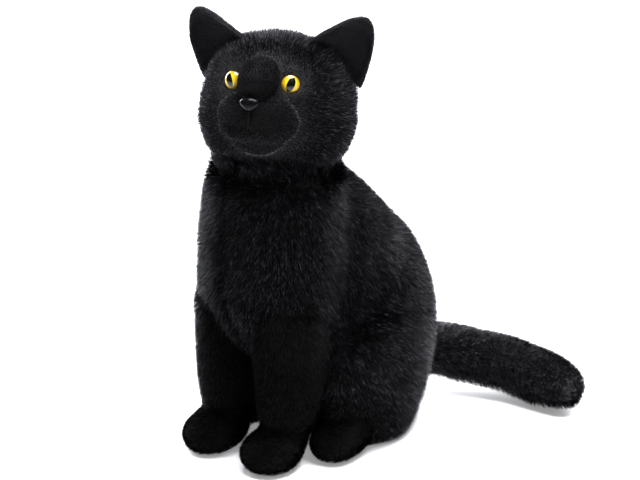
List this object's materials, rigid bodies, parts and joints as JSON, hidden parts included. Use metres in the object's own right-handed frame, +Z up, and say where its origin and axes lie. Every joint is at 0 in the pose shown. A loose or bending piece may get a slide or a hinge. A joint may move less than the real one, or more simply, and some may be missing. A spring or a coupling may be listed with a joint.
{
  "type": "plush cat",
  "caption": "Sitting black plush cat with sewn covers over stuffing, amber safety eyes, a turning head on a doll joint and a tail that lies beside it and swings at its root.",
  "frame": {"origin": "middle of the flat base panel, on the surface that the cat sits on", "axes": "+Z up, -Y the way the body faces, +X the cat's left"},
  "size_m": [0.2, 0.2709, 0.3217],
  "materials": {
    "long_pile_plush": "dense matt plush, pile about 9 mm, near black with grey tips",
    "medium_pile_plush": "slightly curly plush, pile about 5 mm, near black",
    "short_pile_plush": "sheared velour, pile about 1.5 mm, near black",
    "ear_velour": "short velour, charcoal",
    "polyester_filling": "loose white fibre",
    "pellet_bag_cloth": "plain woven cotton",
    "amber_eye": "clear polished dome over an amber iris and black pupil",
    "black_nose_plastic": "polished black",
    "white_nylon": "moulded, satin",
    "plated_steel": "zinc plated",
    "black_thread": "twisted embroidery thread"
  },
  "bodies": {
    "torso": {"chest_panel_left": "long_pile_plush", "chest_panel_right": "long_pile_plush", "torso_side_left": "long_pile_plush", "torso_side_right": "long_pile_plush", "foreleg_cover_left": "medium_pile_plush", "foreleg_cover_right": "medium_pile_plush", "forepaw_cover_left": "short_pile_plush", "forepaw_cover_right": "short_pile_plush", "foreleg_stuffing_left": "polyester_filling", "foreleg_stuffing_right": "polyester_filling", "haunch_cover_left": "long_pile_plush", "haunch_cover_right": "long_pile_plush", "hindpaw_cover_left": "short_pile_plush", "hindpaw_cover_right": "short_pile_plush", "hindleg_stuffing_left": "polyester_filling", "hindleg_stuffing_right": "polyester_filling", "base_panel": "long_pile_plush", "torso_neck_panel": "long_pile_plush", "pellet_bag": "pellet_bag_cloth", "torso_stuffing": "polyester_filling", "torso_joint_disc": "white_nylon", "torso_joint_washer": "plated_steel", "joint_pin": "plated_steel"},
    "head": {"head_side_left": "long_pile_plush", "head_side_right": "long_pile_plush", "head_crown": "long_pile_plush", "head_neck_panel": "long_pile_plush", "muzzle_cover": "short_pile_plush", "chin_cover": "short_pile_plush", "nose_bridge": "short_pile_plush", "nose": "black_nose_plastic", "nose_washer": "white_nylon", "mouth_thread": "black_thread", "head_stuffing": "polyester_filling", "head_joint_disc": "white_nylon", "head_joint_washer": "plated_steel", "ear_front_left": "ear_velour", "ear_front_right": "ear_velour", "ear_back_left": "ear_velour", "ear_back_right": "ear_velour", "eye_left": "amber_eye", "eye_right": "amber_eye", "eye_washer_left": "white_nylon", "eye_washer_right": "white_nylon"},
    "tail": {"tail_cover": "medium_pile_plush", "tail_stuffing": "polyester_filling"}
  },
  "joints": [
    {"name": "neck_turn", "type": "hinge", "parent": "torso", "child": "head", "pos_m": [0, -0.068, 0.22], "axis": [0, 0, 1], "range_deg": [-80, 40]},
    {"name": "tail_swing", "type": "hinge", "parent": "torso", "child": "tail", "pos_m": [0, 0.054, 0.036], "axis": [0, 0, 1], "range_deg": [-15, 25]}
  ]
}
